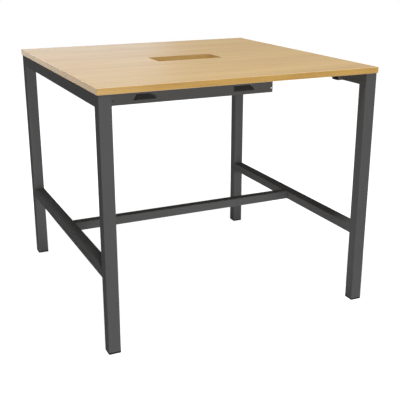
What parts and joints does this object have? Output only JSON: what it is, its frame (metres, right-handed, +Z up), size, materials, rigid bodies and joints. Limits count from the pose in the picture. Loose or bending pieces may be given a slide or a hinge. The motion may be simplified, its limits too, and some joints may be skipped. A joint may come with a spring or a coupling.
{
  "type": "standing meeting table",
  "caption": "Square standing-height meeting table: oak board top with a cable cut-out, steel side frames joined by a low stretcher, and a folded cable tray under the top.",
  "frame": {"origin": "on the floor under the middle of the table, with the levelling feet screwed right in", "axes": "+X to the right along the cable tray, +Y to the back, +Z up"},
  "size_m": [1.2, 1.2, 1.043],
  "materials": {
    "oak_board": "light oak, matt lacquer, grain along X",
    "oak_edging": "oak edging, matt lacquer, grain along each strip",
    "graphite_steel": "graphite grey powder coat, fine texture, satin",
    "black_plastic": "black moulded plastic, matt",
    "zinc_steel": "bright zinc plated"
  },
  "bodies": {
    "table": {"tabletop": "oak_board", "cutout_edging": "oak_edging", "edging_front": "oak_edging", "edging_back": "oak_edging", "edging_left": "oak_edging", "edging_right": "oak_edging", "leg_front_left": "graphite_steel", "leg_front_right": "graphite_steel", "leg_back_left": "graphite_steel", "leg_back_right": "graphite_steel", "top_rail_left": "graphite_steel", "lower_rail_left": "graphite_steel", "spigot_left": "graphite_steel", "top_rail_right": "graphite_steel", "lower_rail_right": "graphite_steel", "spigot_right": "graphite_steel", "stretcher": "graphite_steel", "beam_front": "graphite_steel", "beam_back": "graphite_steel", "saddle_front_left": "graphite_steel", "saddle_front_right": "graphite_steel", "saddle_back_left": "graphite_steel", "saddle_back_right": "graphite_steel", "cable_tray": "graphite_steel", "spigot_nuts": "zinc_steel", "stretcher_screws": "zinc_steel", "beam_bolts": "zinc_steel", "beam_washers": "zinc_steel", "beam_nuts": "zinc_steel", "insert_bushes": "zinc_steel", "beam_screws": "zinc_steel", "rail_screws": "zinc_steel", "tray_screws": "zinc_steel", "leg_insert_front_left": "black_plastic", "leg_insert_front_right": "black_plastic", "leg_insert_back_left": "black_plastic", "leg_insert_back_right": "black_plastic"},
    "foot_front_left": {"foot_pad_front_left": "black_plastic", "foot_stud_front_left": "zinc_steel"},
    "foot_front_right": {"foot_pad_front_right": "black_plastic", "foot_stud_front_right": "zinc_steel"},
    "foot_back_left": {"foot_pad_back_left": "black_plastic", "foot_stud_back_left": "zinc_steel"},
    "foot_back_right": {"foot_pad_back_right": "black_plastic", "foot_stud_back_right": "zinc_steel"}
  },
  "joints": [
    {"name": "foot_front_left_height", "type": "slide", "parent": "table", "child": "foot_front_left", "axis": [0, 0, -1], "range_m": [0, 0.01]},
    {"name": "foot_front_right_height", "type": "slide", "parent": "table", "child": "foot_front_right", "axis": [0, 0, -1], "range_m": [0, 0.01]},
    {"name": "foot_back_left_height", "type": "slide", "parent": "table", "child": "foot_back_left", "axis": [0, 0, -1], "range_m": [0, 0.01]},
    {"name": "foot_back_right_height", "type": "slide", "parent": "table", "child": "foot_back_right", "axis": [0, 0, -1], "range_m": [0, 0.01]}
  ]
}
